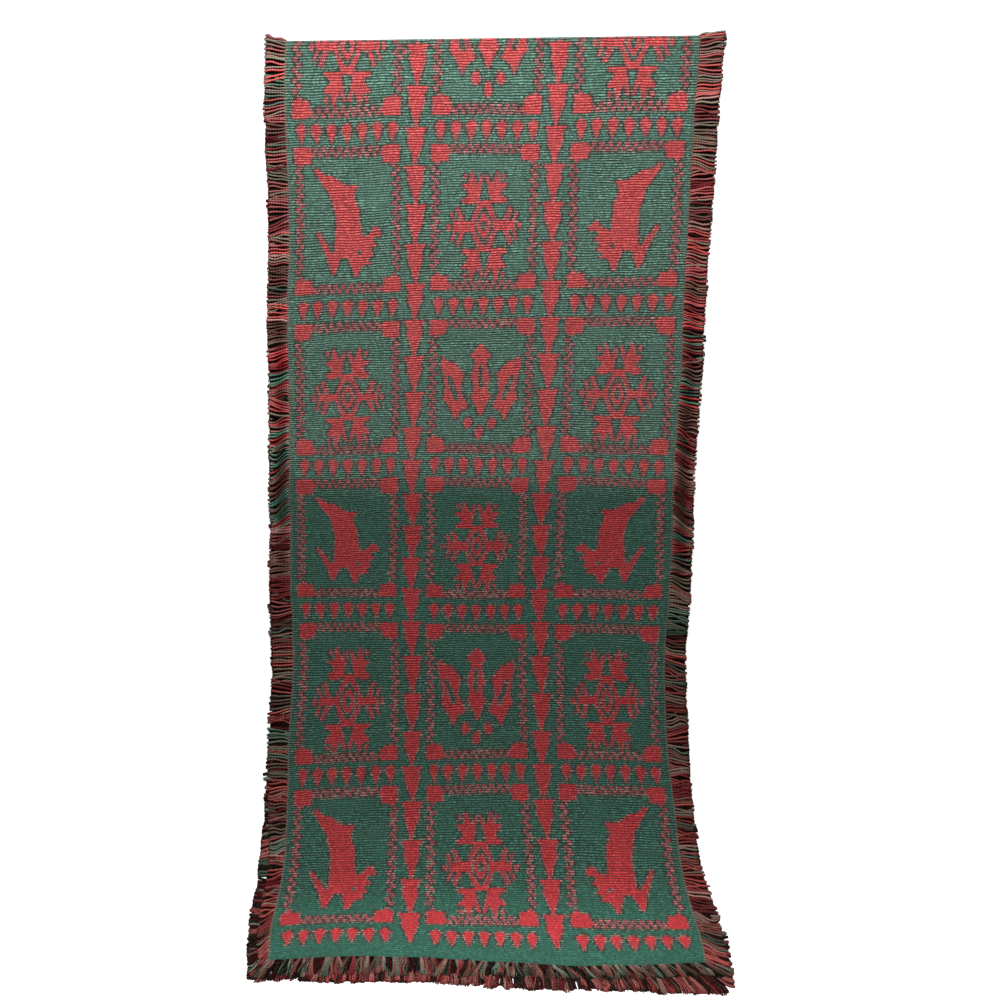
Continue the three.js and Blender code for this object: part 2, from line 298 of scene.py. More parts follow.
# One quarter of a snowflake, from its middle
FLAKE_DOWN = 3.6                # its middle lies below the middle of its frame
FLAKE = (
    (True, [(0, 10.2), (1.8, 10.2), (1.8, 8.6), (2.6, 5.6), (3.5, 1.9), (3.6, 0), (0, 0)]),
    (False, [(0, 7.8), (.3, 7.5), (1.2, 5.2), (1.9, 2.9), (2.4, 0), (0, 0)]),
    (True, [(0, 5.2), (.7, 4.6), (1.5, 2.3), (1.95, 0), (0, 0)]),
    (False, [(0, 2.4), (.5, 1.6), (.8, 0), (0, 0)]),
    (True, [(3, 0), (3, 1.6), (8.2, 1.6), (8.2, 0)]),
    (True, [(8.6, 0), (8.8, 1.2), (9.6, 1.6), (10, 0)]),
    (True, [(4.8, 1.6), (6.2, 1.6), (6.9, 4), (7.5, 6.9), (6.9, 7.7), (6.2, 7.3), (5.5, 4)]),
    (True, [(7.3, 1.6), (8, 1.6), (8.9, 4.8), (8.7, 5.9), (8.1, 5.5)]),
    (True, [(1.5, 10.2), (1.5, 9.2), (5.4, 8.9), (6.1, 9.8), (5.9, 10.8), (5, 11.4), (4.3, 12.9),
            (6.1, 16.4), (5.9, 17), (4.3, 17), (4.1, 19.6), (3.9, 21.6), (3.4, 22.5), (3, 21.6),
            (2.4, 19), (1.9, 16.8), (1.4, 18.6), (.9, 20.6), (.3, 20.9), (.2, 19.6), (.7, 16.6),
            (1.3, 11.4)]),
    (True, [(4.7, 18.9), (5.5, 18.7), (5.8, 20), (5.3, 21.3), (4.7, 20.6)]),
)

# The right half of the three buds
BUDS = (
    (True, [(0, -19.4), (1.5, -16.6), (3, -14), (1.7, -12.2), (1.6, -9.6), (2, -7.5), (2.6, -4.5),
            (1.8, .4), (2.6, 4.6), (1.5, 8), (.5, 12.4), (0, 13.2)]),
    (False, [(0, -10), (.5, -8.6), (.5, 0), (0, 1)]),
    (True, [(10.3, -14.2), (9.6, -12.6), (8.4, -11.2), (7.2, -10.8), (6.2, -9), (4.4, -5.6),
            (5.1, 1.5), (4.4, 4.6), (3.1, 9.2), (4.8, 10), (5.8, 12.4), (6.6, 15.4), (7.4, 13),
            (8.4, 8.8), (10.1, 5.4), (9.4, 1), (9.9, -3.5), (10.9, -10)]),
    (False, [(8.8, -5.5), (7.9, -4.2), (6.3, 2), (5.9, 6.5), (6.8, 6), (8, 1), (8.8, -3)]),
    (True, [(3.2, 13.4), (4.2, 14.8), (4.45, 16.4), (4.2, 18), (3.2, 19.4), (2.2, 18), (1.95, 16.4),
            (2.2, 14.8)]),
    (True, [(0, 17.3), (.9, 18.8), (1.15, 20.6), (.9, 22.4), (0, 23.9)]),
)

# An animal with a long tail, woven head down
BEAST = (
    (True, [
        (-9, -21.2), (-7.6, -21.2), (-5.8, -18.9), (-3.6, -18), (-1.6, -15.6), (-.2, -14.4),
        (1.4, -14.4), (2.8, -15), (1.8, -11), (1.9, -8.5), (2.9, -5), (3.1, 1), (3.5, 5.6),
        (4.2, 6.3), (5.6, 5), (6.6, 3), (8, 3), (9.1, 5.3), (8.6, 6.8), (6.8, 7), (6.6, 8.6),
        (7.9, 9.8), (6.4, 10.8), (6.2, 12), (7, 14.6), (5.2, 15.2), (6.3, 17.6), (4.3, 17.6),
        (3.4, 19.4), (2.6, 22.8), (1.6, 22.8), (1.2, 19.6), (0, 14.4), (-1.8, 14.4), (-2.5, 17),
        (-3.4, 21.3), (-4.2, 21.5), (-4.9, 19), (-5.9, 14.2), (-8.6, 5.5), (-8.4, 3.9), (-7.4, 5),
        (-4.2, 12.8), (-3.7, 11), (-3.4, -1), (-4.2, -6), (-5, -11), (-6.4, -14)]),
    (False, [(2.7, 12), (3.4, 12), (3.4, 14), (2.7, 14)]),
)

# A slub of red yarn caught in the first band
SLUB = [(-.4, 0), (.5, .3), (.6, 1.6), (.1, 2.4), (-.6, 1.6)]
SLUB_AT = (30.6, 4.6)


def fill(chart, outline, red, across=0.0, down=0.0, flip=1, turn=1):
    """Paints a closed outline of (column, pick) points into the chart, mirrored where asked."""
    x = across + flip * np.array([p[0] for p in outline], float)
    y = down + turn * np.array([p[1] for p in outline], float)
    x2, y2 = np.roll(x, -1), np.roll(y, -1)
    first = max(0, math.floor(y.min() - 0.5))
    for pick in range(first, min(PICKS, math.ceil(y.max() + 0.5))):
        level = pick + 0.5
        crossed = (y <= level) != (y2 <= level)
        at = np.sort(x[crossed] + (level - y[crossed]) / (y2 - y)[crossed] * (x2 - x)[crossed])
        for start, end in zip(at[0::2], at[1::2]):
            a, b = (int(round(np.clip(v, 0, COLUMNS) * FINE)) for v in (start, end))
            chart[pick, a:b] = red


def figure(chart, outlines, across, down, flips, turns=(1,)):
    """Paints a figure's outlines in turn, red or green, mirrored sideways and up and down."""
    for red, outline in outlines:
        for flip in flips:
            for turn in turns:
                fill(chart, outline, red, across, down, flip, turn)


def seeded_bands(chart, bands, left, middle):
    """Staggered rows of dashes between the corners, two along each band of the frame."""
    right = left + BLOCK_WIDTH
    start, stop = left + CORNER_WIDTH, right - CORNER_WIDTH
    for side in (-1, 1):
        outer, inner = middle + side * FRAME, middle + side * (FRAME - BAND)
        fill(bands, [(start, outer), (stop, outer), (stop, inner), (start, inner)], True)
        for row in (0, 1):
            near = FRAME - DASH_ROW * row
            top = min(middle + side * near, middle + side * (near - DASH_ROW))
            for column in range(start + 1 + row, stop, DASH_ROW):
                fill(chart, DASH, True, column, top)
        edge, inward = (left, 1) if side < 0 else (right, -1)
        side_band = [
            (0, -SIDE_BAND_HALF), (SIDE_BAND_WIDTH, -SIDE_BAND_HALF),
            (SIDE_BAND_WIDTH, SIDE_BAND_HALF), (0, SIDE_BAND_HALF)]
        fill(bands, side_band, True, edge, middle, inward)
    for column, later in ((left + .6, 0), (left + 1.6, 1), (right - 1.6, 1), (right - .6, 0)):
        first = middle - SIDE_BAND_HALF + 1 + DASH_ROW * later
        for top in np.arange(first, middle + SIDE_BAND_HALF - 1, 2 * DASH_ROW):
            fill(chart, DASH, True, column, top)


def draw_chart():
    """Which places of the weave are red on the outer face, and which lie in a seeded band."""
    chart = np.zeros((PICKS, COLUMNS * FINE), bool)
    bands = chart.copy()
    for row in range(LAST_ROW + 1):
        middle = row * BLOCK_STEP
        for place, left in enumerate(BLOCKS):
            centre = left + BLOCK_WIDTH / 2
            right = left + BLOCK_WIDTH
            seeded_bands(chart, bands, left, middle)
            for side in (-1, 1):
                fill(chart, CORNER, True, left, middle + side * FRAME, 1, -side)
                fill(chart, CORNER, True, right, middle + side * FRAME, -1, -side)
            for tree in range(LITTLE_TREES["count"]):
                stem = left + LITTLE_TREES["first"] + LITTLE_TREES["step"] * tree
                fill(chart, LITTLE_TREE, True, stem, middle)
            if row % 2 == 0 and place == 1:
                figure(chart, BUDS, centre, middle, (1, -1))
            elif row % 2 == 1 and place != 1:
                figure(chart, BEAST, centre, middle, (1 if place == 0 else -1,))
            else:
                figure(chart, FLAKE, centre, middle + FLAKE_DOWN, (1, -1), (1, -1))
    for lane in TREE_LANES:
        for top in range(TALL_TREE_FIRST, int(LAST_ROW * BLOCK_STEP + FRAME), TALL_TREE_STEP):
            figure(chart, [(True, TALL_TREE)], lane, top, (1, -1))
    fill(chart, SLUB, True, *SLUB_AT)
    return chart, bands


WEAVE_SEED = 5
EDGE_JITTER = 0.12      # columns by which a colour change wanders from pick to pick
BORDERING = -0.5        # where a green cell shows just a little of the red weft under it
DEEP_INSIDE = 1.5       # columns beyond which no change is felt
FAR = 9.0               # no change that way


def red_over(chart, bands):
    """For each cell of the weave, three numbers at its left and its right side: how far in columns
    it lies inside red past the cell's first colour change, the same before its second one, and 1,
    or -1 for a green stripe in red. So one or two changes in a cell come out exactly in place.
    The third number is twice as large in the seeded bands."""
    rng = np.random.default_rng(WEAVE_SEED)
    left = np.arange(COLUMNS, dtype=float)
    inside = np.zeros((PICKS, COLUMNS, 2, 3))
    for pick in range(PICKS):
        row = chart[pick]
        flips = (np.flatnonzero(row[1:] != row[:-1]) + 1) / FINE
        flips = flips + rng.uniform(-EDGE_JITTER, EDGE_JITTER, len(flips))
        known = np.concatenate([[-FAR], flips, [COLUMNS + FAR, COLUMNS + FAR]])
        known = np.maximum.accumulate(known)
        first = np.searchsorted(known, left, side="right")
        last = np.searchsorted(known, left + 1, side="left")
        sign = np.where(first % 2 == 1, -1.0, 1.0) * (-1.0 if row[0] else 1.0)
        count = last - first
        for corner in (0, 1):
            at = left + corner
            change = last if corner else first
            nearest = np.minimum(at - known[change - 1], known[change] - at)
            beyond = at - known[first]
            past = np.select([count == 0, count == 1], [sign * nearest, -sign * beyond], beyond)
            before = np.where(count < 2, FAR, known[first + 1] - at)
            stripe = np.where((count < 2) | (sign < 0), 1.0, -1.0)
            inside[pick, :, corner] = np.stack([past, before, stripe], -1)
    # In the seeded bands, and above and below a colour change
    red = chart.reshape(PICKS, COLUMNS, FINE).mean(2) > 0.5
    in_band = bands.reshape(PICKS, COLUMNS, FINE).mean(2) > 0.3
    bordering = np.zeros_like(red)
    bordering[1:] |= red[:-1]
    bordering[:-1] |= red[1:]
    first_change = inside[..., 0]
    first_change[bordering & ~red] = np.maximum(first_change[bordering & ~red], BORDERING)
    inside[..., :2] = np.clip(inside[..., :2], -DEEP_INSIDE, DEEP_INSIDE)
    inside[in_band, :, 2] *= 2
    return inside


INSIDE_RED = red_over(*draw_chart())


# Its mesh: both faces, both selvedges and both ends, as one closed sheet
INNER_STEP = 3          # the inner face hardly shows, so it has a third of the columns
FOLD_PICKS = 8          # picks to either side of the fold with finer rows

# Where each part lies in the bake square: the outer and the inner face of the upper and the
# lower half as (start, end) across it, and the thin selvedges and ends in the gaps between
FACE_STRIPS = {
    ("outer", "upper"): (0.0, 0.40), ("outer", "lower"): (0.42, 0.60),
    ("inner", "upper"): (0.62, 0.80), ("inner", "lower"): (0.82, 1.0)}
SELVEDGE_STRIPS = {0: 0.402, COLUMNS: 0.602}
SELVEDGE_STRIP = 0.016
END_STRIPS = {"lower": 0.809, "upper": 0.802}
END_STRIP = 0.006

# What the selvedges and the ends are woven in, as columns inside red
JUST_RED = 0.1
ALL_GREEN = -1.0


def cloth_rows():
    """Picks at which the sheet has a row of points, from the lower end to the upper one."""
    lower = np.arange(-PICKS, -FOLD_PICKS, 2.0)
    fold = np.arange(-FOLD_PICKS, FOLD_PICKS, 0.5)
    upper = np.arange(FOLD_PICKS, PICKS + 1, 1.0)
    return np.concatenate([lower, fold, upper])


def make_mesh(name, points, faces, sizes=None):
    """A mesh from an array of points and one of corner numbers, four to a face or as sizes say."""
    mesh = bpy.data.meshes.new(name)
    flat = np.asarray(faces, np.int32).ravel()
    if sizes is None:
        sizes = np.full(len(flat) // 4, 4, np.int32)
    starts = np.concatenate([[0], np.cumsum(sizes)[:-1]]).astype(np.int32)
    mesh.vertices.add(len(points))
    mesh.vertices.foreach_set("co", np.asarray(points, np.float32).ravel())
    mesh.loops.add(len(flat))
    mesh.loops.foreach_set("vertex_index", flat)
    mesh.polygons.add(len(sizes))
    mesh.polygons.foreach_set("loop_start", starts)
    mesh.polygons.foreach_set("use_smooth", np.ones(len(sizes), bool))
    mesh.update(calc_edges=True)
    mesh.validate()
    thing = bpy.data.objects.new(name, mesh)
    bpy.context.scene.collection.objects.link(thing)
    return thing


def add_uv(mesh, name, corners):
    """Gives each corner of each face its two numbers on a named map."""
    layer = mesh.uv_layers.new(name=name)
    layer.data.foreach_set("uv", np.asarray(corners, np.float32).ravel())


def corners_of(*values):
    """The four corners' values of each face, side by side in the last place."""
    return np.stack(np.broadcast_arrays(*values), -1)


def make_cloth():
    """The sheet. Each corner of each face carries its place in the weave, its place in the bake
    square and how far inside red it lies."""
    rows = cloth_rows()
    count = len(rows)
    outer_columns = np.arange(COLUMNS + 1)
    inner_columns = np.unique(np.append(np.arange(0, COLUMNS, INNER_STEP), COLUMNS))
    sides = []
    for columns, off in ((outer_columns, THICKNESS / 2), (inner_columns, -THICKNESS / 2)):
        u = np.broadcast_to(columns / COLUMNS, (count, len(columns)))
        s = np.broadcast_to(rows[:, None] * PICK, u.shape)
        sides.append(put(lie(u, s, off)))
    wide = (len(outer_columns), len(inner_columns))
    points = np.concatenate([side.reshape(-1, 3) for side in sides])
    inner_start = count * wide[0]

    faces, sizes, stitches, bake, inside = [], [], [], [], []
    pick_of = np.minimum(np.abs((rows[1:] + rows[:-1]) / 2).astype(int), PICKS - 1)

    # The two faces; the inner one has its corners the other way round and its colours changed
    for face, columns in enumerate((outer_columns, inner_columns)):
        number = np.arange(count * wide[face]).reshape(count, wide[face]) + inner_start * face
        quads = corners_of(number[:-1, :-1], number[:-1, 1:], number[1:, 1:], number[1:, :-1])
        column = corners_of(
            columns[None, :-1], columns[None, 1:], columns[None, 1:], columns[None, :-1])
        column = np.broadcast_to(column, quads.shape)
        row = corners_of(rows[:-1, None], rows[:-1, None], rows[1:, None], rows[1:, None])
        row = np.broadcast_to(row, quads.shape)
        cells = np.minimum(columns, COLUMNS - 1)
        left = INSIDE_RED[pick_of][:, cells[:-1], 0]
        right = INSIDE_RED[pick_of][:, cells[1:] - 1 if face else cells[:-1], 1]
        value = np.stack([left, right, right, left], -2)
        upper = (rows[:-1] >= 0)[:, None, None]
        name = ("outer", "inner")[face]
        low, high = (
            np.where(upper, FACE_STRIPS[name, "upper"][end], FACE_STRIPS[name, "lower"][end])
            for end in (0, 1))
        place = np.stack([low + (high - low) * (column / COLUMNS), np.abs(row) / PICKS], -1)
        stitch = np.stack([column, row], -1)
        if name == "inner":
            turned = -np.sign(value[..., 2]) * np.minimum(value[..., 0], value[..., 1])
            value = np.stack([turned, np.full_like(turned, FAR), np.ones_like(turned)], -1)
            quads = quads[..., ::-1]
            value, place, stitch = (of[..., ::-1, :] for of in (value, place, stitch))
        faces.append(quads.ravel())
        sizes.append(np.full(quads[..., 0].size, 4))
        inside.append(value.reshape(-1, 3))
        bake.append(place.reshape(-1, 2))
        stitches.append(stitch.reshape(-1, 2))

    # The selvedges
    for edge in (0, COLUMNS):
        outer = np.arange(count) * wide[0] + (0 if edge == 0 else wide[0] - 1)
        inner = inner_start + np.arange(count) * wide[1] + (0 if edge == 0 else wide[1] - 1)
        quads = corners_of(outer[:-1], outer[1:], inner[1:], inner[:-1])
        row = corners_of(rows[:-1], rows[1:], rows[1:], rows[:-1])
        inward = np.broadcast_to([0.0, 0.0, 1.0, 1.0], quads.shape)
        if edge == COLUMNS:
            quads, row, inward = (of[:, ::-1] for of in (quads, row, inward))
        base = SELVEDGE_STRIPS[edge]
        place = np.stack([base + SELVEDGE_STRIP * inward, 0.5 + row / PICKS / 2], -1)
        faces.append(quads.ravel())
        sizes.append(np.full(len(quads), 4))
        inside.append(np.tile([JUST_RED, FAR, 1], (quads.size, 1)))
        bake.append(place.reshape(-1, 2))
        stitches.append(np.stack([edge + inward, row], -1).reshape(-1, 2))

    # The two ends, each face from one inner step to the next
    for half, end in (("lower", 0), ("upper", count - 1)):
        for step, (start, stop) in enumerate(zip(inner_columns[:-1], inner_columns[1:])):
            inner = inner_start + end * wide[1] + step
            ring = [end * wide[0] + column for column in range(start, stop + 1)]
            ring += [inner + 1, inner]
            spots = [(column, 0.0) for column in range(start, stop + 1)]
            spots += [(stop, 1.0), (start, 1.0)]
            if half == "lower":
                ring, spots = ring[::-1], spots[::-1]
            faces.append(np.array(ring))
            sizes.append(np.array([len(ring)]))
            inside.append(np.tile([ALL_GREEN, FAR, 1], (len(ring), 1)))
            bake.append(np.array([
                (END_STRIPS[half] + END_STRIP * inward, column / COLUMNS) for column, inward in spots]))
            stitches.append(np.array([(column, rows[end] + inward) for column, inward in spots]))

    cloth = make_mesh("cloth_runner", points, np.concatenate(faces), np.concatenate(sizes))
    mesh = cloth.data
    add_uv(mesh, "stitches", np.concatenate(stitches))
    add_uv(mesh, "OFBake", np.concatenate(bake))
    attribute = mesh.attributes.new("red_over", "FLOAT_VECTOR", "CORNER")
    attribute.data.foreach_set("vector", np.concatenate(inside).astype(np.float32).ravel())
    return cloth


cloth = make_cloth()


# Its material
def linear(colour):
    """An sRGB hex colour as linear red, green, blue and alpha."""
    parts = [int(colour[i:i + 2], 16) / 255 for i in (1, 3, 5)]
    return [p / 12.92 if p <= 0.04045 else ((p + 0.055) / 1.055) ** 2.4 for p in parts] + [1.0]


def node(tree, kind, inputs=(), out=0, **settings):
    """Adds a node with its settings, gives its inputs values or links, in order or by name, and
    hands back one of its outputs, or the node itself where out is None."""
    made = tree.nodes.new("ShaderNode" + kind)
    for name, value in settings.items():
        setattr(made, name, value)
    for name, value in inputs.items() if isinstance(inputs, dict) else enumerate(inputs):
        if isinstance(value, bpy.types.NodeSocket):
            tree.links.new(value, made.inputs[name])
        else:
            made.inputs[name].default_value = value
    return made if out is None else made.outputs[out]


def bare_material(name):
    """A new material without a node in it, and its tree."""
    material = bpy.data.materials.new(name)
    material.use_nodes = True
    material.node_tree.nodes.clear()
    return material, material.node_tree


def portion(tree, whole, *ranges):
    """Part of a whole. Each range gives a value, the two ends between which it counts and, where
    they aren't 0 and 1, what it counts for at those ends."""
    for values in ranges:
        counts = node(tree, "MapRange", values)
        whole = node(tree, "Math", [whole, counts], operation="MULTIPLY")
    return whole


# Each weft's colour on the rib, the painted shade in the gap beside it, and the painted highlight
# where its crest catches the light, in plain cloth and where the two colours meet; the dark olive
# where they meet is partly painted shade along the figures' edges
TONES = {
    "green": dict(gap_shade="#05180b", yarn="#206653", crest_light="#659c88"),
    "red": dict(gap_shade="#43060a", yarn="#d23138", crest_light="#f0605c"),
    "green_edge": dict(gap_shade="#080b07", yarn="#363d30", crest_light="#948f7c"),
    "red_edge": dict(gap_shade="#3c1013", yarn="#a94c52", crest_light="#c4847f")}
# A pale painted sheen for the rib crests above the crease
PAINTED_SHEEN = "#d8d4cc"
# The outermost warp: painted shade for its rib gaps, and its own pale colour
SELVEDGE_GAP_SHADE = "#3a2c26"
SELVEDGE_WARP = "#b39f90"
OF_COLOURS = dict(out=2, data_type="RGBA")     # settings of a Mix node for colours
BAND_LEAST = -0.22          # how far inside red a place in a seeded band counts at least,
BAND_MOST = 0.15            # and at most
COLOUR_CHANGE = 0.05        # columns to either side of an outline over which the colours change
EDGE_IN_GREEN = 0.1         # the blended edge's middle lies this far outside the red,
EDGE_FADES = (0.52, 0.36)   # and the edge comes in between these distances from it
RIB_WANDER = 0.22           # ribs by which a rib wanders to either side
RIB_HEIGHT = 0.0008         # a rib stands 0.8 mm proud of the gaps beside it
CREASE_PICKS = (182, 198)   # where the painted sheen above the crease ends and the darker painted gap shade begins, in ribs from the fold
RIB_FADE_PICKS = (368, 386)    # over these the ribs flatten and their painted shade and highlights fade, towards the ends


def tapestry_material():
    """Cotton tapestry: matt, ribbed across, each rib a fat twisted weft with painted shade in the gap
    beside it and a painted highlight on its crest. Where the colours meet, both wefts show and blend
    to a pale pinkish edge."""
    material, tree = bare_material("cotton_tapestry")

    # How many columns inside red a place lies. In the seeded bands each weft shows a little of
    # the other.
    changes = node(tree, "Attribute", out="Vector", attribute_name="red_over")
    past, before, stripe = node(tree, "SeparateXYZ", [changes], out=None).outputs
    nearest = node(tree, "Math", [past, before], operation="MINIMUM")
    turned = node(tree, "Math", [stripe], operation="SIGN")
    inside = node(tree, "Math", [nearest, turned], operation="MULTIPLY")
    doubled = node(tree, "Math", [stripe], operation="ABSOLUTE")
    in_band = node(tree, "Math", [doubled, 1.5], operation="GREATER_THAN")
    least = node(tree, "MapRange", [in_band, 0, 1, -DEEP_INSIDE, BAND_LEAST])
    most = node(tree, "MapRange", [in_band, 0, 1, DEEP_INSIDE, BAND_MOST])
    inside = node(tree, "Clamp", [inside, least, most])
    red = node(tree, "MapRange", [inside, -COLOUR_CHANGE, COLOUR_CHANGE])
    beyond = node(tree, "Math", [inside, EDGE_IN_GREEN], operation="ADD")
    beyond = node(tree, "Math", [beyond], operation="ABSOLUTE")
    edge = node(tree, "MapRange", [beyond, *EDGE_FADES])

    # Each rib wanders a little, and so does the gap beside it
    stitches = node(tree, "UVMap", uv_map="stitches")
    column, pick, _ = node(tree, "SeparateXYZ", [stitches], out=None).outputs
    slow = node(tree, "VectorMath", [stitches, (0.22, 0.35, 0)], operation="MULTIPLY")
    wander = node(tree, "TexNoise", {"Vector": slow, "Scale": 1, "Detail": 2})
    wander = node(tree, "MapRange", [wander, 0.3, 0.7, -RIB_WANDER, RIB_WANDER])
    pick = node(tree, "Math", [pick, wander], operation="ADD")
    row = node(tree, "Math", [pick], operation="FLOOR")
    within = node(tree, "Math", [pick], operation="FRACT")
    half_turn = node(tree, "Math", [within, math.pi], operation="MULTIPLY")
    rib = node(tree, "Math", [half_turn], operation="SINE")

    # The warp ends under each rib, two to a column, offset from rib to rib
    bead = node(tree, "Math", [row, 0.25, column], operation="MULTIPLY_ADD")
    bead = node(tree, "Math", [bead, 4 * math.pi], operation="MULTIPLY")
    bead = node(tree, "Math", [bead], operation="SINE")

    # Unevenness of the cotton: dashes along a rib, slow clouds over many, and specks no longer
    # than a stitch, a different row of them on each rib. They are laid out in columns of 3.3 mm
    # and ribs of 2.1 mm.
    on_row = node(tree, "CombineXYZ", [column, row])
    on_cloth = node(tree, "CombineXYZ", [column, pick])
    slid = node(tree, "Math", [row, 0.618 / 1.6, column], operation="MULTIPLY_ADD")
    on_stitch = node(tree, "CombineXYZ", [slid, row])
    uneven = {}
    for name, place, close, detail, roughness in (
            ("dash", on_row, (0.55, 5.3, 0), 3, 0.65),
            ("cloud", on_cloth, (0.1, 0.06, 0), 3, 0.5),
            ("speck", on_stitch, (1.6, 9.1, 0), 2, 0.5)):
        place = node(tree, "VectorMath", [place, close], operation="MULTIPLY")
        uneven[name] = node(tree, "TexNoise", {
            "Vector": place, "Scale": 1, "Detail": detail, "Roughness": roughness})
    dash, cloud, speck = uneven["dash"], uneven["cloud"], uneven["speck"]

    tones = {}
    for tone in ("gap_shade", "yarn", "crest_light"):
        side = {name: linear(TONES[name][tone]) for name in TONES}
        plain = node(tree, "Mix", {0: red, 6: side["green"], 7: side["red"]}, **OF_COLOURS)
        mingled = node(
            tree, "Mix", {0: red, 6: side["green_edge"], 7: side["red_edge"]}, **OF_COLOURS)
        tones[tone] = node(tree, "Mix", {0: edge, 6: plain, 7: mingled}, **OF_COLOURS)

    # Near the ends the ribs' bump flattens and their painted shade and highlights fade, and below the
    # crease the painted sheen stops and the painted shade in the gaps gets darker
    from_fold = node(tree, "Math", [pick], operation="ABSOLUTE")
    below = node(tree, "MapRange", [from_fold, *CREASE_PICKS])
    depth = portion(tree, 1, (from_fold, *RIB_FADE_PICKS, 1, 0.45), (cloud, 0.38, 0.62, 0.7, 1.15))
    beaded = node(tree, "Math", [bead, 0.06, speck], operation="MULTIPLY_ADD")
    # Painted highlight on the rib crests; along colour edges the pale mingled weft shows on them too
    lit_crest = node(tree, "Math", [
        portion(tree, depth, (rib, 0.6, 0.9), (beaded, 0.46, 0.62), (below, 0, 1, 1, 0.5)),
        portion(tree, edge, (rib, 0.55, 0.8), (speck, 0.48, 0.6), (below, 0, 1, 0.45, 1)),
    ], operation="MAXIMUM")
    # Painted shade in the gaps beside the ribs and along colour edges, darker below the crease
    shade_below_crease = node(tree, "MapRange", [red, 0, 1, 1.3, 1.08])
    shaded_gap = node(tree, "Math", [
        portion(tree, depth, (rib, 0.85, 0.5), (dash, 0.62, 0.38, 0.5, 1), (red, 0, 1, 1, 0.8),
                (below, 0, 1, 1, shade_below_crease)),
        portion(tree, edge, (rib, 0.8, 0.5), (red, 0, 1, 0.95, 0.6)),
    ], operation="MAXIMUM")
    colour = node(tree, "Mix", {0: lit_crest, 6: tones["yarn"], 7: tones["crest_light"]}, **OF_COLOURS)
    colour = node(tree, "Mix", {0: shaded_gap, 6: colour, 7: tones["gap_shade"]}, **OF_COLOURS)

    # Cotton catches the light in specks, from stitch to stitch, red less than green
    glint = node(tree, "MapRange", [speck, 0.32, 0.68, 0.64, 1.36])
    steady = node(tree, "Math", [
        portion(tree, 0.2, (red, 0, 1)), portion(tree, 0.05, (below, 0, 1))], operation="MAXIMUM")
    glint = node(tree, "MapRange", [steady, 0, 1, glint, 1])
    glint = portion(tree, glint, (cloud, 0.35, 0.65, 0.83, 1.12))
    colour = node(tree, "VectorMath", {0: colour, "Scale": glint}, operation="SCALE")

    # Towards the fold a pale painted sheen lies on the ribs, most on their crests
    painted_sheen = portion(
        tree, 0.09, (below, 1, 0), (rib, 0.45, 0.95), (red, 0, 1, 1.4, 0.9), (edge, 0, 1, 1, 0.3))
    colour = node(tree, "Mix", {0: painted_sheen, 6: colour, 7: linear(PAINTED_SHEEN)}, **OF_COLOURS)

    # The outermost warp is a pale one, with painted shade in the gaps between its ribs
    outward = node(tree, "Math", [column, COLUMNS / 2], operation="SUBTRACT")
    outward = node(tree, "Math", [outward], operation="ABSOLUTE")
    outermost = node(
        tree, "MapRange", [outward, COLUMNS / 2 - 0.6, COLUMNS / 2 - 0.3, 0, 0.6])
    on_rib = node(tree, "MapRange", [rib, 0.4, 0.8])
    warp = node(
        tree, "Mix", {0: on_rib, 6: linear(SELVEDGE_GAP_SHADE), 7: linear(SELVEDGE_WARP)}, **OF_COLOURS)
    colour = node(tree, "Mix", {0: outermost, 6: colour, 7: warp}, **OF_COLOURS)

    height = rib
    for part, high in ((bead, 0.12), (dash, 0.4), (speck, 0.35)):
        height = node(tree, "Math", [part, high, height], operation="MULTIPLY_ADD")
    height = node(tree, "Math", [height, depth], operation="MULTIPLY")
    bump = node(tree, "Bump", {"Height": height, "Strength": 1, "Distance": RIB_HEIGHT})
    shader = node(tree, "BsdfPrincipled", {
        "Base Color": colour, "Roughness": 0.6, "Normal": bump, "IOR": 1.45,
        "Sheen Weight": 0.05, "Sheen Roughness": 0.5, "Specular IOR Level": 0.4})
    node(tree, "OutputMaterial", {"Surface": shader}, out=None)
    return material


cloth.data.materials.append(tapestry_material())
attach(cloth, "root")
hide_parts("runner_cloth")


# ---------------------------------------------------------------------------------------------
# The side fringes: the two-ply cotton weft yarns, left long past each selvedge and looped back
# on the upper half, so woven in and not sewn on. About one strand comes to a rib, and they
# cling together in small tufts that lean this way and that.
# ---------------------------------------------------------------------------------------------
SIDE_SEEDS = {-1: 21, 1: 22}        # of the left and the right fringe
INSIDE_CLOTH = 2.0                  # how far inside the cloth a strand starts
SIDE_REACH = 18.0

# A strand is a five-sided tube: how far along it its rings of points lie, and how thick it is
STRAND_SIDES = 5
STRAND_AT = np.array([0, .16, .33, .5, .67, .84, .95, 1.0])
STRAND_SHAPE = np.array([1, 1, 1, 1, 1.03, 1.08, 1.0, .7])

# The near-black brown is painted shade, laid under the other strands, and no yarn of the runner
YARNS = {
    "coral": "#cc4040", "rose": "#b2464a", "pink": "#c08a80", "crimson": "#94262f",
    "dark_red": "#3d100f", "brown": "#8a5a4e", "dark_brown": "#36211a", "shade_black_brown": "#170d0b",
    "olive": "#857a66", "green": "#568874", "dark_green": "#1d2a20"}


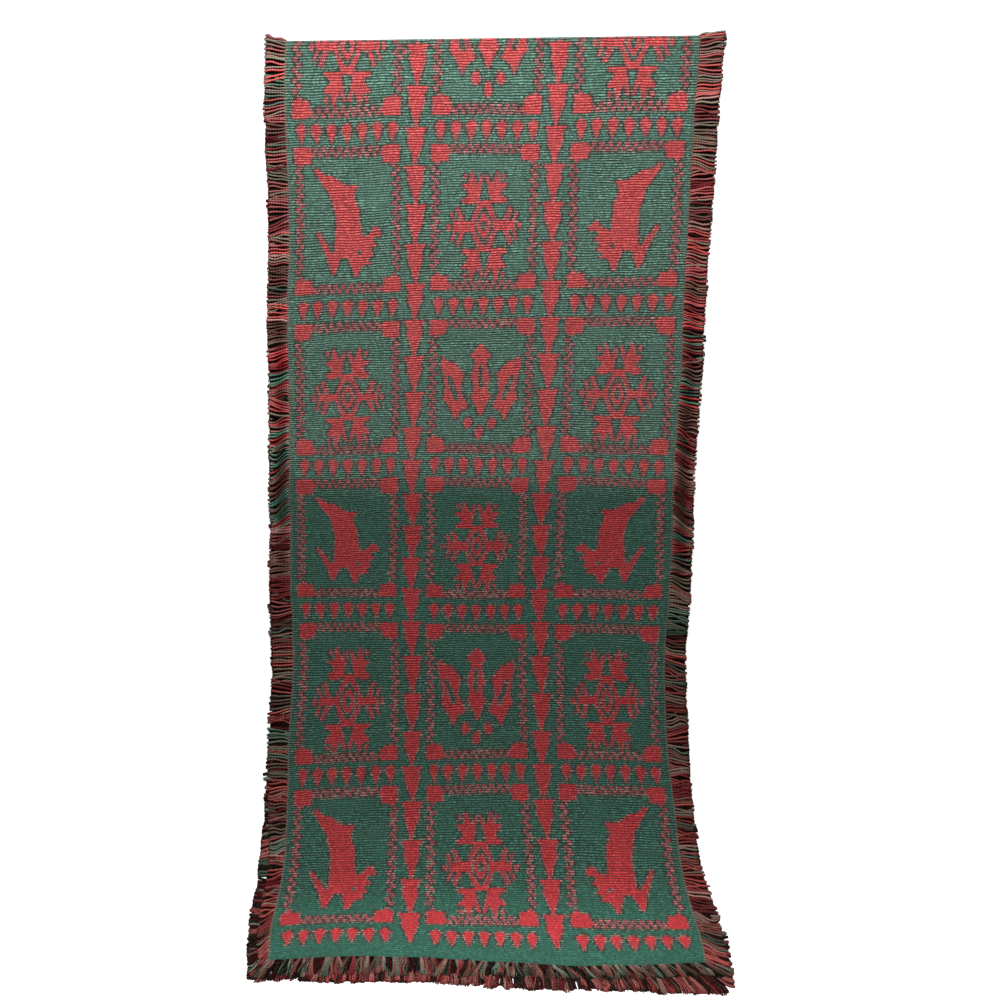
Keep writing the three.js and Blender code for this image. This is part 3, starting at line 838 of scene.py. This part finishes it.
def tubes(name, paths, radii, colours):
    """One mesh of round strands. paths is (strands, rings, 3), in metres; each strand tapers
    to a blunt closed tip, and carries its yarn colour and its turn and length for the ply."""
    strands, rings, _ = paths.shape
    ahead = np.gradient(paths, axis=1)
    ahead /= np.linalg.norm(ahead, axis=2, keepdims=True)
    side = np.cross(ahead, (0.0, 0.0, 1.0))
    flat = np.linalg.norm(side, axis=2, keepdims=True)
    side = np.where(flat > 0.2, side / np.maximum(flat, 1e-9), (1.0, 0.0, 0.0))
    top = np.cross(side, ahead)
    turn = np.arange(STRAND_SIDES) / STRAND_SIDES * 2 * math.pi
    ring = np.cos(turn)[:, None] * side[:, :, None, :] + np.sin(turn)[:, None] * top[:, :, None, :]
    points = paths[:, :, None, :] + ring * (radii[:, None] * STRAND_SHAPE)[:, :, None, None]

    # Four corners to a face along each strand, and one many-sided face at each of its ends
    first = (np.arange(strands) * rings * STRAND_SIDES)[:, None, None]
    here = first + np.arange(rings - 1)[:, None] * STRAND_SIDES
    there = here + STRAND_SIDES
    k = np.arange(STRAND_SIDES)
    k2 = (k + 1) % STRAND_SIDES
    quads = np.stack([here + k, here + k2, there + k2, there + k], -1)
    tips = first[:, 0] + (rings - 1) * STRAND_SIDES + k
    roots = first[:, 0] + k[::-1]
    faces = np.concatenate([quads.ravel(), tips.ravel(), roots.ravel()])
    sizes = np.concatenate([
        np.full(quads[..., 0].size, 4), np.full(2 * strands, STRAND_SIDES)])
    thing = make_mesh(name, points.reshape(-1, 3), faces, sizes)
    mesh = thing.data

    # Turns round the strand and millimetres along it
    cut = np.linalg.norm(np.diff(paths, axis=1), axis=2)
    run = np.concatenate([np.zeros((strands, 1)), np.cumsum(cut, axis=1)], 1) * 1000
    along = corners_of(run[:, :-1, None], run[:, :-1, None], run[:, 1:, None], run[:, 1:, None])
    along = np.broadcast_to(along, quads.shape)
    around = np.broadcast_to(np.stack([k, k + 1, k + 1, k], -1) / STRAND_SIDES, quads.shape)
    tip_around = np.broadcast_to(k / STRAND_SIDES, tips.shape)
    tip_along = np.broadcast_to(run[:, -1:], tips.shape)
    add_uv(mesh, "ply", np.concatenate([
        np.stack([around, along], -1).reshape(-1, 2),
        np.stack([tip_around, tip_along], -1).reshape(-1, 2),
        np.stack([tip_around[:, ::-1], np.zeros(tips.shape)], -1).reshape(-1, 2)]))

    # A cell of the bake square for each strand: its length below, its two ends above
    across = math.ceil(math.sqrt(strands / 6)) * 6
    down = math.ceil(strands / across)
    number = np.arange(strands)
    cell = np.stack([number % across / across, number // across / down], -1)[:, None, :]
    size = np.array([1 / across, 1 / down])
    spread = np.stack([around, along / run[:, -1].max() * 0.9], -1)
    small = np.stack([0.5 + 0.4 * np.cos(turn), 0.5 + 0.4 * np.sin(turn)], -1) * (0.4, 0.1)
    length_spots = cell[:, None, None] + (0.06 + 0.8 * spread) * size
    tip_spots = cell + ((0.1, 0.86) + small) * size
    root_spots = cell + ((0.5, 0.86) + small[::-1]) * size
    add_uv(mesh, "OFBake", np.concatenate([
        spots.reshape(-1, 2) for spots in (length_spots, tip_spots, root_spots)]))

    paint = np.concatenate([
        np.repeat(colours, corners, axis=0)
        for corners in ((rings - 1) * STRAND_SIDES * 4, STRAND_SIDES, STRAND_SIDES)])
    attribute = mesh.attributes.new("yarn", "FLOAT_COLOR", "CORNER")
    attribute.data.foreach_set("color", paint.astype(np.float32).ravel())
    return thing


YARN_FURROW_SHADE = "#c4bab8"     # painted shade: what is left of a yarn's colour in the furrow between its plies, and on its sides, deep among the others
YARN_SIDE_SHADE = "#52302e"      # and on its sides, deep among the others
YARN_TOP_HIGHLIGHT = "#d8c4b4"       # a painted highlight on its top
YARN_FUZZ = "#e8d8c8"
FUZZ_SCALE = 900.0          # fibres about 1 mm long, as noise scale to the metre
FURROW_DEPTH = 0.0003


def yarn_material():
    """Two-ply cotton yarn: matt, a little fuzzy, with the slanting furrow between its plies; painted
    shade darkens the furrow and the sides, and a painted highlight pales the top.
    """
    material, tree = bare_material("plied_cotton_yarn")
    paint = node(tree, "Attribute", attribute_name="yarn")
    ply_place = node(tree, "UVMap", uv_map="ply")
    around, along, _ = node(tree, "SeparateXYZ", [ply_place], out=None).outputs
    # Two plies make one full turn in about 5 mm
    twist = node(tree, "Math", [along, 0.2, around], operation="MULTIPLY_ADD")
    twist = node(tree, "Math", [twist, 2 * math.pi], operation="MULTIPLY")
    ply = node(tree, "Math", [twist], operation="SINE")
    ply = node(tree, "Math", [ply], operation="ABSOLUTE")
    place = node(tree, "NewGeometry", out="Position")
    fuzz = node(tree, "TexNoise", {"Vector": place, "Scale": FUZZ_SCALE, "Detail": 2})
    furrow_shade = node(tree, "VectorMath", [paint, linear(YARN_FURROW_SHADE)[:3]], operation="MULTIPLY")
    on_ply = node(tree, "MapRange", [ply, 0.05, 0.45])
    colour = node(tree, "Mix", {0: on_ply, 6: furrow_shade, 7: paint}, **OF_COLOURS)

    # The sides of a strand lie deep among the others, where little light gets in, and are darkened
    # with painted shade; the back of a bright one is paled with a painted highlight
    facing = node(tree, "NewGeometry", out="Normal")
    upward = node(tree, "SeparateXYZ", [facing], out=2)
    side_shade = node(tree, "VectorMath", [colour, linear(YARN_SIDE_SHADE)[:3]], operation="MULTIPLY")
    on_back = node(tree, "MapRange", [upward, 0.2, 0.8])
    colour = node(tree, "Mix", {0: on_back, 6: side_shade, 7: colour}, **OF_COLOURS)
    bright = node(tree, "RGBToBW", [paint])
    painted_sheen = portion(tree, 1, (upward, 0.82, 0.98), (bright, 0.04, 0.14, 0, 0.3))
    colour = node(tree, "Mix", {0: painted_sheen, 6: colour, 7: linear(YARN_TOP_HIGHLIGHT)}, **OF_COLOURS)
    fuzzy = node(tree, "MapRange", [fuzz, 0.55, 0.75, 0, 0.09])
    colour = node(tree, "Mix", {0: fuzzy, 6: colour, 7: linear(YARN_FUZZ)}, **OF_COLOURS)

    height = node(tree, "Math", [fuzz, 0.4, ply], operation="MULTIPLY_ADD")
    bump = node(tree, "Bump", {"Height": height, "Strength": 1, "Distance": FURROW_DEPTH})
    shader = node(tree, "BsdfPrincipled", {
        "Base Color": colour, "Roughness": 0.93, "Normal": bump, "IOR": 1.45,
        "Sheen Weight": 0.03, "Sheen Roughness": 0.5, "Specular IOR Level": 0.08})
    node(tree, "OutputMaterial", {"Surface": shader}, out=None)
    return material


YARN_MATERIAL = yarn_material()


def tuft_numbers(rng, count, sizes):
    """Numbers the tuft of each of count neighbouring strands, and the strand's place in it."""
    tuft, place = [], []
    while len(tuft) < count:
        size = int(rng.choice(sizes))
        number = tuft[-1] + 1 if tuft else 0
        tuft += [number] * size
        place += list((np.arange(size) - (size - 1) / 2))
    return np.array(tuft[:count]), np.array(place[:count])


def yarn_colours(rng, groups, shares, odd, shade):
    """A yarn colour for each strand: neighbours in a group share theirs, but for the odd one."""
    names = list(shares)
    weights = np.array([shares[n] for n in names], float)
    weights /= weights.sum()
    palette = np.array([linear(YARNS[n]) for n in names])
    chosen = rng.choice(len(names), groups.max() + 1, p=weights)
    strays = rng.random(len(groups)) < odd
    yarn = np.where(strays, rng.choice(len(names), len(groups), p=weights), chosen[groups])
    colours = palette[yarn]
    # Each group, and each strand a little, comes out lighter or darker at random; the darker groups
    # stand partly for painted shade of tufts lying deeper
    tuft_brightness = rng.uniform(0.4, 1.25, groups.max() + 1)[groups]
    tuft_brightness = tuft_brightness * rng.uniform(0.85, 1.15, len(groups))
    colours[:, :3] *= np.reshape(tuft_brightness * shade, (-1, 1))
    return colours


def drift(rng, along, shortest, longest):
    """A smooth seeded wander along the edge, about as large as 1."""
    length = np.exp(rng.uniform(math.log(shortest), math.log(longest), 8))
    start = rng.uniform(0, 2 * math.pi, 8)
    return np.sin(2 * math.pi * along[:, None] / length + start).sum(1) / 2.5


def fringe_piece(place, layers):
    """The strands of some layers, given as paths, radii and colours, as one fringe."""
    paths, radii, colours = (np.concatenate(parts) for parts in zip(*layers))
    fringe = tubes("fringe_strands_" + place, put(paths), radii / 1000, colours)
    fringe.data.materials.append(YARN_MATERIAL)
    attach(fringe, "root")
    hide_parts("fringe_" + place)
    return fringe


# The yarns of each layer, with how often each comes
BRIGHT = dict(coral=2.8, rose=3.4, pink=1.4, crimson=1.6, brown=2.6, olive=2.2, green=1.8)
# The dim yarns are painted shade: mostly near-black strands seen in the gaps between the others
DIM = dict(shade_black_brown=3.0, dark_red=2.6, dark_brown=2.0, crimson=1.0, dark_green=1.4)
KNOBS = dict(
    crimson=2.6, dark_red=1.2, rose=2.4, brown=2.8, dark_brown=1.6, dark_green=1.0, olive=1.2,
    green=1.0)

# Each layer: its half, its strands and their radius, its share of the full reach, the height at
# which its tips rest, and its yarns. The top one is of loops, two strands side by side; the
# darker ones below are seen between them, and the dim yarns of the shadow and floor layers are
# painted shade.
SIDE_LAYERS = (
    dict(kind="loops", upper=True, count=370, radius=1.06, share=1.0, rest=3.9, yarns=BRIGHT),
    dict(kind="shadow", upper=True, count=520, radius=1.15, share=0.95, rest=2.0, yarns=DIM),
    dict(kind="knobs", upper=False, count=320, radius=1.45, share=1.0, rest=1.9, yarns=KNOBS),
    dict(kind="floor", upper=False, count=510, radius=1.2, share=0.95, rest=1.25, yarns=DIM),
)
SIDE_TUFTS = (2, 3, 3, 4, 6)        # strands that come in one tuft, and in one colour
SIDE_COLOURED = (2, 2, 3, 4, 6)
SIDE_ODD = 0.3                      # share of strands with a colour of their own
LOOP_SHADE = {-1: 1.45, 1: 1.25}    # how much brighter the loops' yarns come out, on the left and on the right
PAINTED_SHADE_AT = (380, 520)              # where the strands get painted shade, and by how much darker in each half
PAINTED_SHADE_DEPTH = {True: 0.36, False: 0.2}
MOST_RADIUS = 1.2                   # a strand's fullest place, in shares of its layer's radius

# Where the tips lean, in millimetres: towards the fold above zero, towards the ends below. Each
# lean comes in over a stretch of the edge, in millimetres from the fold.
LEANS = (
    dict(upper=True, lean=7.0, start=50, full=12),
    dict(upper=True, lean=-4.0, start=740, full=820),
    dict(upper=True, lean=-7.0, start=820, full=861),
    dict(upper=False, lean=5.0, start=60, full=10),
    dict(upper=False, lean=-3.0, start=760, full=820),
    dict(upper=False, lean=-9.0, start=820, full=861),
)
# Two leans of the upper half's strands that come and go again about a place on the edge
PASSING_LEANS = (
    dict(sides=(-1, 1), lean=-7.0, at=410, width=28),
    dict(sides=(1,), lean=-3.0, at=560, width=120),
)

# How much further than SIDE_REACH the strands of a half reach, in the same way
REACHES = (
    dict(side=1, upper=(True, False), more=4.0, start=330, full=0),
    dict(side=1, upper=(True,), more=-3.0, start=640, full=730),
    dict(side=1, upper=(False,), more=-2.0, start=640, full=730),
    dict(side=1, upper=(True, False), more=6.0, start=735, full=805),
    dict(side=-1, upper=(True,), more=-5.0, start=640, full=790),
    dict(side=-1, upper=(True, False), more=-4.0, start=800, full=860),
)


def side_lean(side, along, upper):
    """How far the strands' tips lean at each distance from the fold."""
    lean = np.zeros(len(along))
    for row in LEANS:
        if row["upper"] == upper:
            lean += row["lean"] * smoothstep(along, row["start"], row["full"])
    for row in PASSING_LEANS:
        if upper and side in row["sides"]:
            lean += row["lean"] * np.exp(-((along - row["at"]) / row["width"]) ** 2)
    return lean


def side_fringe(side):
    """One side's fringe, in four layers of strands: side is -1 at the left and 1 at the right."""
    rng = np.random.default_rng(SIDE_SEEDS[side])
    t = STRAND_AT[None, :]
    layers = []
    for layer in SIDE_LAYERS:
        upper, count, radius = layer["upper"], layer["count"], layer["radius"]
        pitch = HALF_LENGTH / count
        s = (np.arange(count) + 0.5 + rng.uniform(-0.15, 0.15, count)) * pitch
        tuft, place = tuft_numbers(rng, count, SIDE_TUFTS)
        tufts = tuft.max() + 1
        loose = layer["kind"] in ("loops", "knobs")

        # Each stretch of the edge leans its way, and so does each tuft of the loose layers, whose
        # strands also draw in; the two strands of a loop lie close
        lean = side_lean(side, s, upper) + (2.6 if loose else 1.0) * drift(rng, s, 60, 170)
        gather = rng.uniform(0.1, 0.6, tufts)[tuft] * loose
        if loose:
            tuft_lean = 1.8 * drift(rng, s, 18, 40) + rng.normal(0, 2.0, tufts)[tuft]
            lean += (1.15 * tuft_lean + rng.normal(0, 0.5, count)) * smoothstep(s, 0, 30)
        in_loop = np.where(np.arange(count) % 2 == 0, -0.5, 0.5)
        shift = lean - place * pitch * gather - in_loop * pitch * 0.35

        # How far out each reaches; a knob's middle strands reach a little further
        reach = SIDE_REACH + 0.5 * drift(rng, s, 20, 90) + rng.normal(0, 0.2, tufts)[tuft]
        reach += rng.normal(0, 0.15, count)
        for row in REACHES:
            if side == row["side"] and upper in row["upper"]:
                reach += row["more"] * smoothstep(s, row["start"], row["full"])
        if layer["kind"] == "knobs":
            reach += rng.uniform(-1.6, 1.4, tufts)[tuft] - 0.4 * np.abs(place)
        reach *= layer["share"]

        # Out from inside the cloth, swaying, and down to the height at which the layer rests
        root = lie(np.full(count, 0.0 if side < 0 else 1.0), s if upper else -s)
        x = root[:, None, 0] + side * (-INSIDE_CLOTH + (reach[:, None] + INSIDE_CLOTH) * t)
        sway = rng.normal(0, 0.8, (tufts, 1))[tuft] + rng.normal(0, 0.3, (count, 1))
        turning = smoothstep(t, -0.25, 1.1) - smoothstep(0.0, -0.25, 1.1)
        y = root[:, None, 1] + shift[:, None] * turning + sway * np.sin(2 * math.pi * t)
        y = y + rng.normal(0, 0.6, (tufts, 1))[tuft] * np.sin(math.pi * t)
        start_z = root[:, None, 2] - (0.7 if layer["share"] < 1 else 0.0)
        low = layer["rest"] + rng.normal(0, 0.25, (count, 1))
        low = np.minimum(low + rng.uniform(0, 0.7, (tufts, 1))[tuft], start_z)
        z = start_z + (low - start_z) * smoothstep(t, 0.08, 0.75)
        z = z + 0.7 * np.sin(math.pi * t) * rng.normal(0.3, 0.5, (tufts, 1))[tuft]
        z = np.maximum(z - smoothstep(t, 0.7, 1.0), MOST_RADIUS * radius)
        paths = np.stack(np.broadcast_arrays(x, y, z), -1)
        radii = radius * rng.uniform(0.9, 1.1, count)

        # Further from the fold the strands are darkened, painted shade for the dimmer light there
        groups, _ = tuft_numbers(rng, count, SIDE_COLOURED)
        shade = 1 - PAINTED_SHADE_DEPTH[upper] * smoothstep(s, *PAINTED_SHADE_AT)
        if layer["kind"] == "loops":
            shade = shade * LOOP_SHADE[side]
        colours = yarn_colours(rng, groups, layer["yarns"], SIDE_ODD, shade)
        layers.append((paths, radii, colours))
    return fringe_piece("left" if side < 0 else "right", layers)


side_fringes = [side_fringe(-1), side_fringe(1)]


# ---------------------------------------------------------------------------------------------
# The end fringes: the cotton warp yarns left past each end, gathered at the edge in tufts about
# every centimetre and fanned out below in bundles, with blunt cut tips. They are the warp's own
# ends, so nothing fixes them but the weave.
# ---------------------------------------------------------------------------------------------
END_TUFTS = 33
FANS = dict(
    green=3.4, olive=2.8, pink=0.5, rose=1.8, brown=3.0, crimson=1.7, dark_green=1.4,
    dark_brown=0.8)
# The hollows' yarns are painted shade: near-black strands seen between the bundles at the roots
HOLLOW_SHADE = dict(shade_black_brown=3.0, dark_red=1.6, dark_green=1.4)
LUMPS = dict(
    coral=1.6, crimson=3.0, dark_red=1.6, dark_brown=1.6, dark_green=0.8, rose=2.4, brown=2.4)

# For the upper half, then the lower one, a layer of bundled strands over one of single ones.
# Each layer: strands to a tuft and to a bundle, their radius, the width of a tuft's roots and of
# its tips in shares of its own place, their length and how much longer they are on the right,
# how far tufts sway sideways, the height at which their tips rest, and the yarns.
END_LAYERS = {
    True: (
        dict(each=30, in_bundle=5, radius=0.62, at_root=0.4, at_tip=1.5, length=14.0,
             longer=-5.0, sway=2.2, rest=4.6, yarns=FANS),
        dict(each=12, in_bundle=1, radius=1.2, at_root=1.0, at_tip=1.0, length=14.0,
             longer=-2.8, sway=0.7, rest=2.6, yarns=HOLLOW_SHADE)),
    False: (
        dict(each=30, in_bundle=5, radius=0.64, at_root=0.8, at_tip=1.2, length=13.0,
             longer=4.0, sway=2.2, rest=2.4, yarns=LUMPS),
        dict(each=12, in_bundle=1, radius=1.15, at_root=1.0, at_tip=1.0, length=11.5,
             longer=4.0, sway=0.7, rest=1.3, yarns=DIM))}
# The stretch over which the length changes, from -1 at the left corner to 1 at the right
LONGER_AT = {True: (-0.4, 0.3), False: (-0.3, 0.4)}
END_SEEDS = {True: 25, False: 26}
END_ODD = 0.4
END_SHADE = 0.72
MOST_END_RADIUS = 1.25


def end_fringe(upper):
    """One end's fringe, of the upper half or the lower one."""
    rng = np.random.default_rng(END_SEEDS[upper])
    width = SECTIONS["right"][-1] - SECTIONS["left"][-1]
    pitch = width / END_TUFTS
    t = STRAND_AT[None, :]
    layers = []
    for layer in END_LAYERS[upper]:
        each, in_bundle, radius = layer["each"], layer["in_bundle"], layer["radius"]
        count = END_TUFTS * each
        tuft = np.arange(count) // each
        bundle = np.arange(count) // in_bundle
        bundles = bundle.max() + 1
        bundled = in_bundle > 1
        place = np.arange(count) % in_bundle - (in_bundle - 1) / 2

        # Where its root is, from 0 at the left corner to 1 at the right
        share = (np.arange(count) % each + 0.5) / each - 0.5
        if bundled:
            share = rng.uniform(-0.5, 0.5, bundles)[bundle]
        wander = 0.25 * bundled * rng.uniform(-1, 1, END_TUFTS)
        centre = (np.arange(END_TUFTS) + 0.5 + wander)[tuft] / END_TUFTS
        root_u = centre + (share * layer["at_root"] + place * 0.02) / END_TUFTS
        root_u = np.clip(root_u, 0.001, 0.999)
        root = lie(root_u, np.full(count, HALF_LENGTH if upper else -HALF_LENGTH))

        # Where its tip is beside the root: fanned out, splayed at the corners, and leaning right
        # in the right half
        outward = 2 * centre - 1
        fan = share * pitch * layer["at_tip"] + place * radius * 2
        sway = layer["sway"] * rng.normal(0, 1, END_TUFTS)[tuft] + rng.normal(0, 0.3, count)
        sway += 6 * outward * np.abs(outward) + 8 * outward ** 7
        sway += 8 * smoothstep(outward, 0.15, 0.5)
        if bundled:
            fan = fan + rng.normal(0, 1.6, bundles)[bundle] * (1 - outward ** 8)
        tip_x = (centre - root_u) * width + fan + sway

        # and how far below it; a bundle's middle strands reach a little further
        reach = layer["length"] + rng.uniform(-1.0, 1.0, END_TUFTS)[tuft]
        reach += rng.normal(0, 0.3, count)
        reach += layer["longer"] * smoothstep(outward, *LONGER_AT[upper])
        if bundled:
            reach += rng.uniform(-1.8, 1.2, bundles)[bundle] - 0.25 * np.abs(place)

        # Out and down from the root, each bundle bending its own way
        turning = smoothstep(t, -0.35, 1.25) - smoothstep(0.0, -0.35, 1.25)
        x = root[:, None, 0] + tip_x[:, None] * turning
        x = x + rng.normal(0, 0.9, (bundles, 1))[bundle] * np.sin(math.pi * t)
        x = x + rng.normal(0, 0.7, (bundles, 1))[bundle] * np.sin(2 * math.pi * t)
        y = root[:, None, 1] + INSIDE_CLOTH - (reach[:, None] + INSIDE_CLOTH) * t
        level = rng.uniform(-0.5, 0.5, (bundles, 1))[bundle]
        if upper:
            start_z = root[:, None, 2] + level * 0.8 - (0.0 if bundled else 1.0)
            low = np.minimum(layer["rest"] + 2.2 * level, start_z)
            z = start_z + (low - start_z) * smoothstep(t, 0.05, 0.95)
            if bundled:
                z = z + 0.9 * np.sin(math.pi * t) * rng.normal(0.6, 0.6, (bundles, 1))[bundle]
        else:
            z = layer["rest"] + 1.6 * level + 0.4 * np.sin(math.pi * t)
        z = np.maximum(z - 1.2 * smoothstep(t, 0.75, 1.0), MOST_END_RADIUS * radius)
        paths = np.stack(np.broadcast_arrays(x, y, z), -1)
        radii = radius * rng.uniform(0.85, 1.12, count)
        colours = yarn_colours(rng, bundle, layer["yarns"], END_ODD, END_SHADE)
        layers.append((paths, radii, colours))
    return fringe_piece("end_upper" if upper else "end_lower", layers)


end_fringes = [end_fringe(True), end_fringe(False)]


# ---------------------------------------------------------------------------------------------
# The surface it lies on, the light and the camera: a plain pale floor, a soft lamp over the
# fold and a weaker one over the ends, seen from well above the ends.
# ---------------------------------------------------------------------------------------------
FLOOR_HALF = 6.0
FLOOR_PALE = "#ececec"
FLOOR_WHITE = 0.82          # how white it looks where no light falls on it
WHITE = "#ffffff"
ROOM_LIGHT = 0.2
ROOM_COLOUR = "#fff7f3"


def shown_white(tree):
    """1 where something is looked at, straight or in a gloss or glass, 0 where it only lights."""
    path = node(tree, "LightPath", out=None).outputs
    seen = node(tree, "Math", [path["Is Camera Ray"], path["Is Glossy Ray"]], operation="MAXIMUM")
    return node(tree, "Math", [seen, path["Is Transmission Ray"]], operation="MAXIMUM")


def matt_paper():
    """Plain uncoated paper: flat and white, with no gloss, so that it only shows the shadow."""
    material, tree = bare_material("matt_paper")
    lit = node(tree, "BsdfDiffuse", {"Color": linear(FLOOR_PALE)})
    shown = node(tree, "MapRange", [shown_white(tree), 0, 1, 0, FLOOR_WHITE])
    white = node(tree, "Emission", {"Color": linear(WHITE), "Strength": shown})
    both = node(tree, "AddShader", [lit, white])
    node(tree, "OutputMaterial", {"Surface": both}, out=None)
    return material


floor = make_mesh("floor", [
    (-FLOOR_HALF, -FLOOR_HALF, 0), (FLOOR_HALF, -FLOOR_HALF, 0), (FLOOR_HALF, FLOOR_HALF, 0),
    (-FLOOR_HALF, FLOOR_HALF, 0)], [(0, 1, 2, 3)])
floor.data.materials.append(matt_paper())

world = bpy.data.worlds.new("pale_room")
bpy.context.scene.world = world
world.use_nodes = True
world.node_tree.nodes.clear()
seen = shown_white(world.node_tree)
strength = node(world.node_tree, "MapRange", [seen, 0, 1, ROOM_LIGHT, 1])
air = node(world.node_tree, "Mix", {0: seen, 6: linear(ROOM_COLOUR), 7: linear(WHITE)}, **OF_COLOURS)
room = node(world.node_tree, "Background", {"Color": air, "Strength": strength})
node(world.node_tree, "OutputWorld", {"Surface": room}, out=None)


def lamp(name, place, aim, size, power, colour, spread):
    """A soft flat lamp at a place in metres, with its two sides, its watts and its spread."""
    light = bpy.data.lights.new(name, "AREA")
    light.shape = "RECTANGLE"
    light.spread = math.radians(spread)
    light.size, light.size_y = size
    light.energy = power
    light.color = linear(colour)[:3]
    thing = bpy.data.objects.new(name, light)
    thing.location = place
    thing.rotation_euler = (Vector(aim) - Vector(place)).to_track_quat("-Z", "Y").to_euler()
    bpy.context.scene.collection.objects.link(thing)


lamp("lamp_over_fold", place=(-0.05, 0.64, 0.54), aim=(0.0, 0.22, 0.0), size=(0.4, 0.25),
     power=4.9, colour="#fdffff", spread=180)
lamp("lamp_over_ends", place=(0.0, -0.53, 0.32), aim=(0.0, -0.47, 0.0), size=(0.5, 0.12),
     power=0.42, colour="#fffaf9", spread=80)

TILT = math.radians(18)         # from straight down
DISTANCE = 5.0
AIM_OWN = np.array([11.1, -423.0, 0.0])
SENSOR = 36.0
SPAN = 1.0 / 1.17               # metres across the view at the aim point
aim = Vector(put(AIM_OWN))
back = Vector((0.0, -math.sin(TILT), math.cos(TILT)))
camera_data = bpy.data.cameras.new("camera")
camera_data.sensor_width = SENSOR
camera_data.lens = SENSOR * DISTANCE / SPAN
camera_data.clip_end = 50.0
camera = bpy.data.objects.new("camera", camera_data)
camera.location = aim + back * DISTANCE
camera.rotation_euler = (-back).to_track_quat("-Z", "Y").to_euler()
bpy.context.scene.collection.objects.link(camera)
bpy.context.scene.camera = camera
bpy.context.scene.view_settings.view_transform = "Standard"
